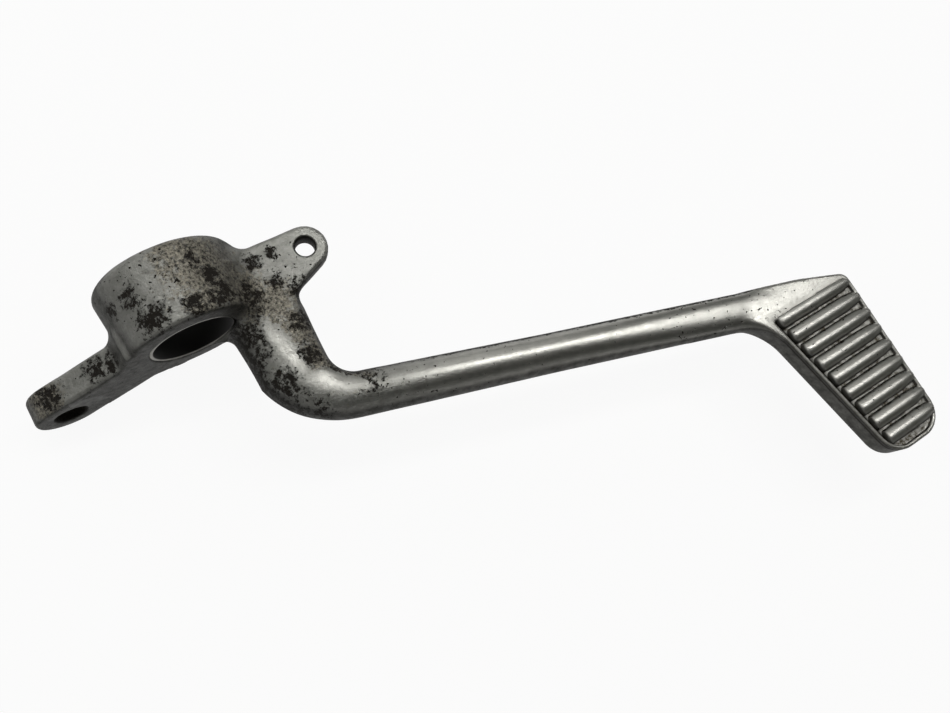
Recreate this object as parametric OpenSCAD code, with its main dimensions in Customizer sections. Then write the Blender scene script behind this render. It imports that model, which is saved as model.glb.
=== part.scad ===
// Rear brake pedal for a motorcycle's right side: one aluminium casting with a bush pressed into its pivot.
// The pivot axis is Y, the foot pad lies towards +X and outboard (-Y), and the tread faces +Z.
// The origin is the middle of the pivot bore.

/* [Pivot boss] */
// Length of the boss along the pivot axis
boss_len = 19.4; // [16:0.1:26]
// Outside diameter of the boss at its outer face
boss_outer_d = 32; // [29:0.1:36]
// Outside diameter of the boss at its inner face, larger by the casting draft
boss_inner_d = 35.4; // [30:0.1:38]
// Rounding of the boss's outer rim
boss_rim_r = 1.3; // [0.4:0.1:2.5]
// Rounding of the boss's inner rim
boss_back_r = 2.2; // [0.4:0.1:3]

/* [Pivot bush] */
// Outside diameter of the pressed bush
bush_outer_d = 22; // [20:0.1:24]
// Wall of the bush
bush_wall = 1; // [0.8:0.1:2.5]
// How far each end of the bush sits below the boss's face
bush_recess = 0.3; // [0.1:0.1:1]

/* [Clevis lever] */
// Distance from the pivot axis to the clevis hole
lever_len = 37.6; // [32:0.1:46]
// Angle of the lever below the horizontal
lever_drop = 27; // [10:0.5:40]
// Width of the lever
lever_w = 17; // [14:0.1:20]
// Thickness of the lever, measured inboard from the boss's outer face
lever_t = 7.7; // [6:0.1:11]
// How far the lever's outer face sits below the boss's outer face
lever_set = 0.15; // [0.1:0.05:1]
// Rounding of the lever's edges
lever_edge_r = 1.2; // [0.3:0.1:2]
// Fillet from the lever's edges into the boss
lever_fillet_r = 9; // [4:0.5:14]
// Cove between the lever's inboard face and the boss
lever_cove_r = 3.5; // [1:0.5:5]
// Diameter of the clevis pin
clevis_pin_d = 8; // [6:0.1:9]
// Clearance of the clevis pin in its hole, on the diameter
clevis_clearance = 0.1; // [0.05:0.05:0.5]
// Diameter of the spot face round the clevis hole
spot_face_d = 19.4; // [12:0.1:22]
// Depth of the spot face
spot_face_depth = 0.4; // [0.1:0.1:1]

/* [Stop ear] */
// Distance from the pivot axis to the ear's hole, forwards
ear_x = 33.3; // [31:0.1:40]
// Distance of the ear's hole outboard of the boss's middle
ear_out = 0.8; // [-1:0.1:3]
// Radius of the ear's tip
ear_tip_r = 5.8; // [4.5:0.1:7.5]
// Height of the ear's top face above the pivot axis
ear_top = 4.9; // [3:0.1:6]
// Thickness of the ear
ear_t = 5; // [4:0.1:8]
// Angle of the ear's outboard edge
ear_edge_angle = 24; // [10:0.5:35]
// Fillet from the ear into the web
ear_fillet_r = 7; // [4:0.5:10]
// Rounding of the ear's edges
ear_edge_r = 1.4; // [0.3:0.1:2]
// Core diameter of the ear's tapped hole
ear_core_d = 5; // [4:0.1:6]
// Depth of the countersink at each end of the tapped hole
ear_sink = 0.5; // [0.2:0.1:1]

/* [Web and elbow] */
// Width of the web that carries the arm
web_w = 17.2; // [14:0.1:20]
// Height of the web's crest above the pivot axis
web_top = 5.6; // [4:0.1:7]
// Depth of the web's root below the pivot axis
web_root_depth = 14.4; // [10:0.1:15]
// Distance of the elbow's bend centre outboard of the boss's middle
elbow_out = 27.1; // [23:0.1:32]
// Distance of the elbow's bend centre in front of the pivot axis
elbow_x = 33; // [30:0.1:38]
// Radius on the inside of the elbow
elbow_inner_r = 6.9; // [4:0.1:10]

/* [Arm] */
// Width of the arm at the elbow
arm_w = 11.4; // [9:0.1:14]
// Width of the arm at the pad
arm_end_w = 10.4; // [8:0.1:13]
// Height of the arm
arm_h = 12; // [9:0.1:14]
// Length of the straight arm, from the elbow to the pad
arm_len = 108.7; // [100:0.1:120]
// Angle at which the arm splays outboard
arm_splay = 14.3; // [5:0.1:25]

/* [Foot pad] */
// Length of the tread, across the foot
pad_len = 48.6; // [42:0.1:56]
// Width of the tread at the arm
pad_root_w = 29.4; // [26:0.1:34]
// Width of the tread at its free end, before the corners are rounded
pad_end_w = 19.6; // [17:0.1:26]
// Angle by which the pad is turned inboard of square to the pivot axis
pad_turn = 2.8; // [0:0.1:8]
// Distance from the arm's middle line to the tread's inboard edge
pad_drop = 4.8; // [3:0.1:6]
// Thickness of the pad, underside to rim
pad_t = 8; // [6:0.1:9]
// Rounding of the front inboard corner
pad_corner_r = 3; // [1:0.5:5]
// Rounding of the front outboard corner
pad_front_r = 7.5; // [5:0.5:9]
// Rounding of the rear outboard corner
pad_rear_r = 7.5; // [4:0.5:8]
// Fillet between the arm and the pad's rear edge
pad_root_r = 15; // [8:0.5:20]
// Rounding of the pad's lower edge
pad_under_r = 1.5; // [0.5:0.1:2.5]
// Width of the rim round the tread
rim_w = 1.2; // [0.8:0.1:2]
// Depth of the tread's floor below the rim
floor_depth = 1.2; // [0.6:0.1:2]

/* [Tread ribs] */
// Distance from one rib to the next
rib_pitch = 5.16; // [4.5:0.02:7]
// Distance from the tread's inboard edge to the first rib's middle
rib_first = 2; // [1.5:0.1:4]
// Radius of the half-round ribs
rib_r = 2.15; // [1.2:0.05:2.4]
// Gap between the rim and the steep end of each rib
rib_gap = 0.5; // [0.2:0.1:1.5]
// Length over which each rib fades out at the front
rib_fade = 9; // [4:0.5:12]

/* [Hidden] */
round_fn = 96;
hole_fn = 64;
// Clear length by which a cut runs past a face
past = 2;
// Points on a section of the web and arm, and on one rounded corner
section_points = 28;
corner_steps = 6;
edge_steps = 3;

outer_y = -boss_len / 2;
inner_y = boss_len / 2;
clevis_d = clevis_pin_d + clevis_clearance;
rim_z = pad_t / 2;
floor_z = rim_z - floor_depth;

// The web runs outboard at this distance in front of the pivot axis, and the arm leaves the elbow at arm_start
web_x = elbow_x - elbow_inner_r - web_w / 2;
arm_dir = [cos(arm_splay), -sin(arm_splay)];
arm_side = [sin(arm_splay), cos(arm_splay)];
elbow_centre = [elbow_x, -elbow_out];
arm_start = elbow_centre - (elbow_inner_r + arm_w / 2) * arm_side;
arm_end = arm_start + arm_len * arm_dir;

// The four corners of the tread before they are rounded, counter-clockwise from the rear inboard one
pad_along = [cos(pad_turn), sin(pad_turn)];
pad_across = [-sin(pad_turn), cos(pad_turn)];
tread_rear_top = arm_end - pad_drop * pad_across;
tread_front_top = tread_rear_top + pad_root_w * pad_along;
tread_front_end = tread_front_top - pad_len * pad_across;
tread_rear_end = tread_front_end - pad_end_w * pad_along;
tread_corners = [tread_rear_top, tread_rear_end, tread_front_end, tread_front_top];
tread_radii = [1.6, pad_rear_r, pad_front_r, pad_corner_r];

function smooth(t) = t * t * (3 - 2 * t);
function mix(a, b, t) = a + (b - a) * t;
function unit(v) = v / norm(v);
function signed_power(v, p) = sign(v) * pow(abs(v), p);

// Left-hand normal of the edge from a to b, which points into a counter-clockwise outline
function inward(a, b) = [a[1] - b[1], b[0] - a[0]] / norm(b - a);
function turn(a, b, c) = cross(b - a, c - b);

// Points of the arc that rounds the corner b, tangent to both its edges
function corner_arc(a, b, c, r) =
    let (u = unit(a - b))
    let (v = unit(c - b))
    let (half = acos(u * v) / 2)
    let (centre = b + unit(u + v) * r / sin(half))
    let (from = b + u * r / tan(half) - centre)
    let (to = b + v * r / tan(half) - centre)
    let (start = atan2(from[1], from[0]))
    let (sweep = (atan2(to[1], to[0]) - start + 540) % 360 - 180)
    [for (i = [0:corner_steps]) centre + r * [cos(start + sweep * i / corner_steps), sin(start + sweep * i / corner_steps)]];

// An outline of straight edges with each corner rounded by its own radius, after every edge has moved in by inset
function rounded_outline(corners, radii, inset = 0) =
    let (n = len(corners))
    let (moved = [for (i = [0:n - 1])
        let (n1 = inward(corners[(i + n - 1) % n], corners[i]))
        let (n2 = inward(corners[i], corners[(i + 1) % n]))
        corners[i] + inset * (n1 + n2) / (1 + n1 * n2)])
    [for (i = [0:n - 1])
        let (a = moved[(i + n - 1) % n])
        let (b = moved[i])
        let (c = moved[(i + 1) % n])
        let (bend = turn(a, b, c) > 0 ? -inset : inset)
        let (r = max(0.2, radii[i] + bend))
        each (radii[i] == 0 ? [b] : corner_arc(a, b, c, r))];

// Triangles that close a ring of m points in level strips, from its top point to its bottom point
function strips(base, m) = [for (row = [0:m / 2 - 1])
    let (a = base + (m / 4 - row + m) % m)
    let (b = base + (m / 4 - row - 1 + m) % m)
    let (c = base + m / 4 + row + 1)
    let (d = base + m / 4 + row)
    each (row == 0 ? [[a, b, c]] : row == m / 2 - 1 ? [[a, b, d]] : [[a, b, c], [a, c, d]])];

// Closed skin over a list of rings that all have the same number of points
module skin(rings, strip_end = false) {
    m = len(rings[0]);
    n = len(rings);
    sides = [for (j = [0:n - 2]) for (i = [0:m - 1]) let (k = (i + 1) % m)
        each [[j * m + i, (j + 1) * m + i, (j + 1) * m + k], [j * m + i, (j + 1) * m + k, j * m + k]]];
    first = [for (i = [0:m - 1]) i];
    last = strip_end ? strips((n - 1) * m, m) : [[for (i = [m - 1:-1:0]) (n - 1) * m + i]];
    polyhedron(points = [for (ring = rings) each ring], faces = concat([first], sides, last), convexity = 6);
}

// Flat plate from z0 to z1 whose edges are rounded by r0 below and r1 above
module rounded_plate(corners, radii, z0, z1, r0, r1) {
    lower = [for (i = [0:edge_steps]) let (a = 90 * i / edge_steps) [z0 + r0 * (1 - cos(a)), r0 * (1 - sin(a))]];
    upper = [for (i = [edge_steps:-1:0]) let (a = 90 * i / edge_steps) [z1 - r1 * (1 - cos(a)), r1 * (1 - sin(a))]];
    levels = concat(lower, upper);
    skin([for (level = levels) [for (p = rounded_outline(corners, radii, level[1])) [p[0], p[1], level[0]]]]);
}

// Body of revolution with draft and rounded rims, drawn along the pivot axis
module boss() {
    r0 = boss_outer_d / 2;
    r1 = boss_inner_d / 2;
    steps = [for (i = [0:edge_steps]) 90 * i / edge_steps];
    outer_rim = [for (a = steps) [r0 - boss_rim_r * (1 - sin(a)), outer_y + boss_rim_r * (1 - cos(a))]];
    inner_rim = [for (a = steps) [r1 - boss_back_r * (1 - cos(a)), inner_y - boss_back_r * (1 - sin(a))]];
    rotate([-90, 0, 0])
        rotate_extrude($fn = round_fn)
            polygon(concat([[0, outer_y]], outer_rim, inner_rim, [[0, inner_y]]));
}

// The lever's outline, drawn with the pivot at the origin and the clevis hole on +X
lever_half = lever_w / 2;
boss_r = boss_outer_d / 2;
fillet_v = lever_half + lever_fillet_r;
fillet_u = sqrt(pow(boss_r + lever_fillet_r, 2) - pow(fillet_v, 2));
fillet_on_boss = [fillet_u, fillet_v] * boss_r / (boss_r + lever_fillet_r);
// Where the boss's tangent at the fillet's end crosses the lever's edge
fillet_corner_u = (boss_r * boss_r - fillet_on_boss[1] * lever_half) / fillet_on_boss[0];
lever_end = lever_len + lever_half;
lever_corners = [
    [0, 0],
    [fillet_on_boss[0], -fillet_on_boss[1]],
    [fillet_corner_u, -lever_half],
    [lever_end, -lever_half],
    [lever_end, lever_half],
    [fillet_corner_u, lever_half],
    fillet_on_boss];
tip_r = lever_half - 0.01;
lever_radii = [0, 0, lever_fillet_r, tip_r, tip_r, lever_fillet_r, 0];

// Turns a shape drawn in the XY plane so that its X follows the lever and its +Z points inboard
module along_lever() {
    rotate([-90, 0, 0])
        rotate([0, 0, 180 - lever_drop])
            children();
}

module lever() {
    along_lever()
        rounded_plate(lever_corners, lever_radii, outer_y + lever_set, outer_y + lever_t, lever_edge_r, lever_edge_r);
    lever_cove();
}

// Quarter-round cove on the boss above the lever's inboard face, no wider than the lever
module lever_cove() {
    foot = outer_y + lever_t;
    sink = 0.15;
    seat = 0.5;
    margin = 0.35;
    wall = mix(boss_r, boss_inner_d / 2, lever_t / boss_len);
    cove = [for (i = [0:edge_steps]) let (a = 90 * i / edge_steps)
        [wall + lever_cove_r * (1 - sin(a)), foot - sink + lever_cove_r * (1 - cos(a))]];
    intersection() {
        rotate([-90, 0, 0])
            rotate_extrude($fn = round_fn)
                polygon(concat([[wall - seat, foot - seat], [wall + lever_cove_r, foot - seat]], cove,
                    [[wall - seat, foot - sink + lever_cove_r]]));
        along_lever()
            translate([0, 0, foot - past])
                linear_extrude(lever_cove_r + 2 * past)
                    polygon(rounded_outline(lever_corners, lever_radii, lever_edge_r + margin));
    }
}

// The ear's plate: its two edges meet at a far point that the tip's radius rounds off
ear_y = -ear_out;
ear_slope = tan(ear_edge_angle);
ear_touch = [ear_x + ear_tip_r * sin(ear_edge_angle), ear_y - ear_tip_r * cos(ear_edge_angle)];
ear_inner_y = ear_y + ear_tip_r;
web_edge_x = web_x + web_w / 2 + 0.2;
ear_far_x = ear_touch[0] + (ear_inner_y - ear_touch[1]) / ear_slope;
ear_root_y = ear_touch[1] + ear_slope * (web_edge_x - ear_touch[0]);
ear_foot_y = ear_root_y - 2 * ear_fillet_r;
ear_back_x = bush_outer_d / 4;
ear_corners = [
    [ear_back_x, ear_y - ear_tip_r],
    [web_x, ear_y - ear_tip_r],
    [web_x, ear_foot_y],
    [web_x + web_w / 4, ear_foot_y],
    [web_edge_x, ear_root_y],
    [ear_far_x, ear_inner_y],
    [ear_back_x, ear_inner_y]];
ear_radii = [0, 0, 0, 0, ear_fillet_r, ear_tip_r, 0];

module ear() {
    rounded_plate(ear_corners, ear_radii, ear_top - ear_t, ear_top, ear_edge_r, ear_edge_r);
}

// One section of the web and arm: centre, outward side direction, half width, half height, squareness, lean
function section(c, side, a, b, square, lean) =
    [for (i = [0:section_points - 1])
        let (t = 360 * i / section_points)
        let (x = a * signed_power(cos(t), 2 / square))
        let (z = b * signed_power(sin(t), 2 / square))
        [c[0] + side[0] * (x + lean * z), c[1] + side[1] * (x + lean * z), c[2] + z]];

web_end_half_h = mix(web_top + web_root_depth, arm_h, 0.72) / 2;
web_square = 2.4;
web_lean = 0.18;
web_flare = 1.4;
elbow_y = -elbow_out;
web_root_y = ear_inner_y - 1;

// The web from its rounded end inside the boss to the elbow
function web_section(t) =
    let (drop = smooth(t))
    let (cap = sqrt(1 - pow(1 - min(1, t / 0.22), 2)))
    let (bottom = mix(-web_root_depth, web_top - 2 * web_end_half_h, drop))
    let (a = mix(web_w / 2 + web_flare, web_w / 2, drop) * max(0.12, cap))
    let (b = (web_top - bottom) / 2 * max(0.12, cap))
    section([mix(web_x - 5, web_x, smooth(min(1, t / 0.6))), mix(web_root_y, elbow_y, t), (web_top + bottom) / 2],
        [1, 0], a, b, web_square, web_lean);

// The elbow turns about its centre while the section narrows from the web to the arm
function elbow_section(t) =
    let (turned = (90 - arm_splay) * t)
    let (side = [cos(turned), sin(turned)])
    let (a = mix(web_w, arm_w, 1 - pow(1 - t, 1.6)) / 2)
    let (b = mix(web_end_half_h, arm_h / 2, smooth(t)))
    let (middle = mix(web_top - web_end_half_h, 0, smooth(t)))
    let (c = elbow_centre - (elbow_inner_r + a) * side)
    section([c[0], c[1], middle], side, a, b, mix(web_square, 2, t), mix(web_lean, 0, smooth(t)));

// The pad's outline, counter-clockwise from the arm's outboard edge round the tread to its inboard edge
arm_half = arm_end_w / 2;
shoulder = 15;
shoulder_r = 40;
rear_dir = unit(tread_rear_end - tread_rear_top);
arm_edge = arm_end - arm_half * arm_side;
rear_t = cross(arm_edge - tread_rear_top, arm_dir) / cross(rear_dir, arm_dir);
root_corner = tread_rear_top + rear_t * rear_dir;
root_tangent = pad_root_r * tan(acos(rear_dir * arm_dir) / 2);
root_reach = root_tangent - (root_corner - arm_edge) * arm_dir;
pad_corners = [
    arm_edge - 2 * root_reach * arm_dir,
    root_corner,
    tread_rear_end,
    tread_front_end,
    tread_front_top,
    arm_end + shoulder * arm_dir + arm_half * arm_side,
    arm_end - root_reach * arm_dir + arm_half * arm_side];
pad_radii = [0, pad_root_r, pad_rear_r, pad_front_r, pad_corner_r, shoulder_r, 0];

// The straight arm, which flattens towards the pad over its last part
flatten_len = 34;
pad_square = 2.6;
arm_run = arm_len - root_reach;
function flattening(s) = smooth(max(0, min(1, (s - arm_len + flatten_len) / flatten_len)));
function arm_section(s) =
    let (a = mix(arm_w, arm_end_w, min(1, s / (arm_len - flatten_len))) / 2)
    let (b = mix(arm_h / 2, rim_z, flattening(s)))
    let (c = arm_start + s * arm_dir)
    section([c[0], c[1], 0], arm_side, a, b, mix(2, pad_square, flattening(s)), 0);

// Places on that outline, counted in its points, that lie opposite each other across the pad
arc = corner_steps;
root_at = 1;
rear_at = root_at + arc + 1;
front_at = rear_at + arc + 1;
top_at = front_at + arc + 1;
shoulder_at = top_at + arc + 1;
last_at = shoulder_at + arc + 1;
top_share = 0.2;
outboard_at = concat(
    [for (i = [0:arc]) root_at + i],
    [for (i = [1:arc]) rear_at - 1 + top_share * i / arc],
    [for (i = [0:arc]) rear_at + i]);
inboard_at = concat(
    [for (i = [0:arc - 2]) last_at - i / (arc - 2)],
    [shoulder_at - 0.5],
    [for (i = [0:arc]) shoulder_at - 1 - i],
    [for (i = [0:arc]) top_at - 1 - i]);
function place(path, at) = mix(path[floor(at)], path[min(ceil(at), len(path) - 1)], at - floor(at));

// Height and inset of the pad's edge, in each quarter of a section from the side wall to the face
quarter = section_points / 4;
function quarter_step(i) =
    let (k = i % (2 * quarter))
    k > quarter ? 2 * quarter - k : k;
function edge_angle(k) = 90 * max(0, min(quarter - 2, k - 1)) / (quarter - 2);
function edge_r(top) = top ? rim_w / 2 : pad_under_r;
upper_paths = [for (k = [0:quarter])
    rounded_outline(pad_corners, pad_radii, edge_r(true) * (1 - cos(edge_angle(k))))];
lower_paths = [for (k = [0:quarter])
    rounded_outline(pad_corners, pad_radii, edge_r(false) * (1 - cos(edge_angle(k))))];

function pad_point(n, i) =
    let (k = quarter_step(i))
    let (top = i <= 2 * quarter)
    let (path = (top ? upper_paths : lower_paths)[k])
    let (r = edge_r(top))
    let (z = k == 0 ? 0 : (top ? 1 : -1) * (rim_z - r * (1 - sin(edge_angle(k)))))
    let (right = place(path, inboard_at[n]))
    let (left = place(path, outboard_at[n]))
    let (at = k == quarter ? (left + right) / 2 : (i < quarter || i > 3 * quarter ? right : left))
    [at[0], at[1], z];

// The arm's section widens across the pad and turns into the pad's own section over the root's fillet
pad_stations = len(outboard_at);
function pad_section(n) =
    let (t = min(1, n / arc))
    let (right = place(upper_paths[0], inboard_at[n]))
    let (left = place(upper_paths[0], outboard_at[n]))
    let (middle = (left + right) / 2)
    let (b = mix(arm_h / 2, rim_z, flattening(mix(arm_run, arm_len, t))))
    let (oval = section([middle[0], middle[1], 0], unit(right - left), norm(right - left) / 2, b, pad_square, 0))
    [for (i = [0:section_points - 1]) mix(oval[i], pad_point(n, i), smooth(t))];

web_steps = 16;
elbow_steps = 12;
arm_steps = 4;
flatten_steps = 6;
module web_arm_and_pad() {
    straight = arm_len - flatten_len;
    skin(concat(
        [for (i = [0:web_steps - 1]) web_section(pow(i / web_steps, 1.3))],
        [for (i = [0:elbow_steps - 1]) elbow_section(i / elbow_steps)],
        [for (i = [0:arm_steps]) arm_section(straight * i / arm_steps)],
        [for (i = [1:flatten_steps - 1]) arm_section(mix(straight, arm_run, i / flatten_steps))],
        [for (n = [0:pad_stations - 1]) pad_section(n)]), strip_end = true);
}

module tread_area(inset, z0, z1) {
    translate([0, 0, z0])
        linear_extrude(z1 - z0)
            polygon(rounded_outline(tread_corners, tread_radii, inset));
}

// One rib along +X: a steep round end, a straight stretch and a long fade
module rib(length) {
    head = [for (i = [0:edge_steps]) let (a = 90 * i / edge_steps) rib_r * [sin(a), 1 - cos(a)]];
    tail = [for (i = [1:edge_steps + 1]) let (t = i / (edge_steps + 1))
        [rib_r * (1 - 0.55 * t * t), length - rib_fade * (1 - t)]];
    rotate([0, 90, 0])
        rotate_extrude($fn = hole_fn / 2)
            polygon(concat(head, tail, [[0, length]]));
}

rib_count = floor((pad_len - rim_w - rib_first) / rib_pitch + 0.5);
rib_sink = 0.15;

module tread_ribs() {
    taper = (pad_root_w - pad_end_w) / pad_len;
    intersection() {
        for (i = [0:rib_count - 1]) {
            down = rib_first + rib_pitch * i;
            from_front = pad_root_w - taper * down - rim_w - rib_gap;
            translate([tread_front_top[0], tread_front_top[1], floor_z - rib_sink])
                rotate([0, 0, pad_turn])
                    translate([-from_front, -down, 0])
                        rib(from_front);
        }
        tread_area(rim_w * 0.6, 0, rim_z + rib_r);
    }
}

module pedal_casting() {
    color("#a3a39e")
    union() {
        difference() {
            union() {
                boss();
                lever();
                ear();
                web_arm_and_pad();
            }
            rotate([-90, 0, 0])
                cylinder(d = bush_outer_d, h = boss_len + 2 * past, center = true, $fn = round_fn);
            along_lever()
                translate([lever_len, 0, outer_y - past]) {
                    cylinder(d = clevis_d, h = lever_t + 2 * past, $fn = hole_fn);
                    cylinder(d = spot_face_d, h = past + spot_face_depth, $fn = hole_fn);
                }
            ear_hole();
            tread_area(rim_w, floor_z, rim_z + past);
        }
        tread_ribs();
    }
}

// Tapped hole at core size, countersunk at both ends
module ear_hole() {
    core = ear_core_d / 2;
    low = ear_top - ear_t;
    flare = core + ear_sink + past;
    translate([ear_x, ear_y, 0])
        rotate_extrude($fn = hole_fn)
            polygon([
                [0, low - past], [flare, low - past], [core, low + ear_sink],
                [core, ear_top - ear_sink], [flare, ear_top + past], [0, ear_top + past]]);
}

module pivot_bush() {
    color("#7d7a70")
    rotate([-90, 0, 0])
        difference() {
            cylinder(d = bush_outer_d, h = boss_len - 2 * bush_recess, center = true, $fn = round_fn);
            cylinder(d = bush_outer_d - 2 * bush_wall, h = boss_len + 2 * past, center = true, $fn = round_fn);
        }
}

pedal_casting();
pivot_bush();
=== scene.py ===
import math

import bpy
import numpy as np
from mathutils import Matrix, Vector


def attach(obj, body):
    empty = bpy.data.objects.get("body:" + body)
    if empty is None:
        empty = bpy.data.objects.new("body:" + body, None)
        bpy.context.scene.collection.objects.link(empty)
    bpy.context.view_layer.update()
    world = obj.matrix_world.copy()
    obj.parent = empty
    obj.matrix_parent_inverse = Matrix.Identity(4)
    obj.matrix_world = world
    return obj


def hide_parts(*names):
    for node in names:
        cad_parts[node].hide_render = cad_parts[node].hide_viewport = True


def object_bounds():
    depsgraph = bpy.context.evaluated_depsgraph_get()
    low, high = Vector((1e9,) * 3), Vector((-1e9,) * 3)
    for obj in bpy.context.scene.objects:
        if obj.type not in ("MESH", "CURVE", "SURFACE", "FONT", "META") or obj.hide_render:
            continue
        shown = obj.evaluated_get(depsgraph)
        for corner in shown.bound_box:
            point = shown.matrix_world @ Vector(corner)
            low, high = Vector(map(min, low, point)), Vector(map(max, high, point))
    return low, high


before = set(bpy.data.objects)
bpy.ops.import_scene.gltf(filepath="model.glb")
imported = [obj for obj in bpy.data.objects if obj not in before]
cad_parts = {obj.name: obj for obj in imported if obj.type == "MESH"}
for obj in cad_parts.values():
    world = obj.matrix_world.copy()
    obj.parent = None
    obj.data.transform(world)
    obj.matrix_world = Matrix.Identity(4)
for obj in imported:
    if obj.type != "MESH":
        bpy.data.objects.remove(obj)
cad_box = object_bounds()
MM = 0.001

# Pedal casting, form
# One sand-cast piece of aluminium: pivot boss, clevis lever, drilled ear, web, elbow, arm and foot pad.
# Each form is a distance field in millimetres, and the fields are joined by the fillets of a casting.

BOSS_LEN, BOSS_OUTER_R, BOSS_INNER_R = 19.4, 16.0, 17.7
BOSS_OUTER_RIM_R, BOSS_INNER_RIM_R = 1.3, 2.6
outer_y = -BOSS_LEN / 2


def mix(a, b, t):
    return a + (b - a) * t


def smooth(t):
    t = np.clip(t, 0, 1)
    return t * t * (3 - 2 * t)


def rounded_outline(corners, radii, steps=10):
    """Straight edges joined by an arc at each corner that has a radius."""
    corners = [np.array(c, float) for c in corners]
    points = []
    for i, (corner, radius) in enumerate(zip(corners, radii)):
        if radius == 0:
            points.append(corner)
            continue
        back = corners[i - 1] - corner
        on = corners[(i + 1) % len(corners)] - corner
        back, on = back / np.linalg.norm(back), on / np.linalg.norm(on)
        half = math.acos(np.clip(back @ on, -1, 1)) / 2
        middle = (back + on) / np.linalg.norm(back + on)
        centre = corner + middle * radius / math.sin(half)
        start = corner + back * radius / math.tan(half) - centre
        end = corner + on * radius / math.tan(half) - centre
        first = math.atan2(start[1], start[0])
        sweep = (math.atan2(end[1], end[0]) - first + 3 * math.pi) % (2 * math.pi) - math.pi
        angles = [first + sweep * k / steps for k in range(steps + 1)]
        points += [centre + radius * np.array([math.cos(a), math.sin(a)]) for a in angles]
    return np.array(points)


def outline_distance(points, outline, reach=5.0):
    """Signed distance to a closed outline, less than nothing inside, and rough beyond reach."""
    off_box = np.maximum(outline.min(0) - points, points - outline.max(0))
    far = np.linalg.norm(np.maximum(off_box, 0), axis=1)
    close = far < reach
    q = points[close]
    nearest = np.full(len(q), np.inf)
    inside = np.zeros(len(q), bool)
    for a, b in zip(outline, np.roll(outline, -1, 0)):
        edge, from_a = b - a, q - a
        along = np.clip(from_a @ edge / max(edge @ edge, 1e-12), 0, 1)
        off = from_a - along[:, None] * edge
        nearest = np.minimum(nearest, (off * off).sum(1))
        crosses = (a[1] > q[:, 1]) != (b[1] > q[:, 1])
        if b[1] != a[1]:
            inside ^= crosses & (q[:, 0] < a[0] + (q[:, 1] - a[1]) * edge[0] / edge[1])
    far[close] = np.where(inside, -1, 1) * np.sqrt(nearest)
    return far


def plate(flat, off_middle, half_t, edge_r):
    """A plate with rounded edges, from its outline's distance and the distance from its middle plane."""
    u, v = flat + edge_r, np.abs(off_middle) - half_t + edge_r
    return np.minimum(np.maximum(u, v), 0) + np.hypot(np.maximum(u, 0), np.maximum(v, 0)) - edge_r


def fillet(a, b, radius):
    """The union of two solids with a fillet of that radius between them."""
    u, v = np.maximum(radius - a, 0), np.maximum(radius - b, 0)
    return np.maximum(radius, np.minimum(a, b)) - np.hypot(u, v)


boss_profile = rounded_outline(
    [(-BOSS_OUTER_R, outer_y), (BOSS_OUTER_R, outer_y), (BOSS_INNER_R, -outer_y), (-BOSS_INNER_R, -outer_y)],
    [BOSS_OUTER_RIM_R, BOSS_OUTER_RIM_R, BOSS_INNER_RIM_R, BOSS_INNER_RIM_R])


def boss_field(p):
    return outline_distance(np.stack([np.hypot(p[:, 0], p[:, 2]), p[:, 1]], 1), boss_profile)


# The lever is a flat plate at the boss's outer end, with hollow flanks where it runs into the boss.
LEVER_LEN, LEVER_DROP, LEVER_HALF_W, LEVER_T, LEVER_EDGE_R = 37.6, 27.0, 8.5, 7.7, 1.4
LEVER_FLANK_R = 9.0
flank_v = LEVER_HALF_W + LEVER_FLANK_R
flank_u = math.sqrt((BOSS_OUTER_R + LEVER_FLANK_R) ** 2 - flank_v ** 2)
on_boss = np.array([flank_u, flank_v]) * BOSS_OUTER_R / (BOSS_OUTER_R + LEVER_FLANK_R)
corner_u = (BOSS_OUTER_R ** 2 - on_boss[1] * LEVER_HALF_W) / on_boss[0]
lever_end = LEVER_LEN + LEVER_HALF_W
tip_r = LEVER_HALF_W - 0.01
lever_outline = rounded_outline(
    [(0, 0), (on_boss[0], -on_boss[1]), (corner_u, -LEVER_HALF_W), (lever_end, -LEVER_HALF_W),
     (lever_end, LEVER_HALF_W), (corner_u, LEVER_HALF_W), (on_boss[0], on_boss[1])],
    [0, 0, LEVER_FLANK_R, tip_r, tip_r, LEVER_FLANK_R, 0], steps=16)
lever_turn = math.radians(180 - LEVER_DROP)


def lever_field(p):
    c, s = math.cos(lever_turn), math.sin(lever_turn)
    q = np.stack([p[:, 0] * c - p[:, 2] * s, -p[:, 0] * s - p[:, 2] * c], 1)
    return plate(outline_distance(q, lever_outline), p[:, 1] - outer_y - LEVER_T / 2, LEVER_T / 2, LEVER_EDGE_R)


# The web, elbow and arm are one sweep. Its section starts deep and leaning, and ends flat at the pad.
# A squareness of 2 is a plain oval, and more than 2 fills its corners.
WEB_W, WEB_TOP, WEB_ROOT_DEPTH, WEB_LEAN, WEB_SQUARE = 17.2, 5.6, 14.4, 0.18, 2.4
WEB_ROOT_SPREAD, WEB_ROOT_BACK, WEB_ROOT_ROUNDING, WEB_STRAIGHT_FROM = 1.4, 5.0, 0.22, 0.6
WEB_END_DEPTH_SHARE, WEB_UNDER_EAR, WEB_EAR_STEP = 0.72, 1.0, 0.2
ELBOW = np.array([33.0, -27.1])
ELBOW_INNER_R, ELBOW_NARROWING = 6.9, 1.6
ARM_W, ARM_END_W, ARM_H, ARM_LEN, ARM_SPLAY = 11.4, 10.4, 12.0, 108.7, math.radians(14.3)
FLATTEN_LEN, ARM_END_SQUARE = 60.0, 2.6
ARM_SINK, ARM_SINK_FROM, ARM_SINK_LEN, ARM_IN_PAD = 0.9, 12.0, 28.0, 16.0
PAD_TOP = 4.0
NOT_HERE, PROBE, SLOPE_LEAST, SLOPE_MOST = 9.0, 0.05, 0.04, 0.35
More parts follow.
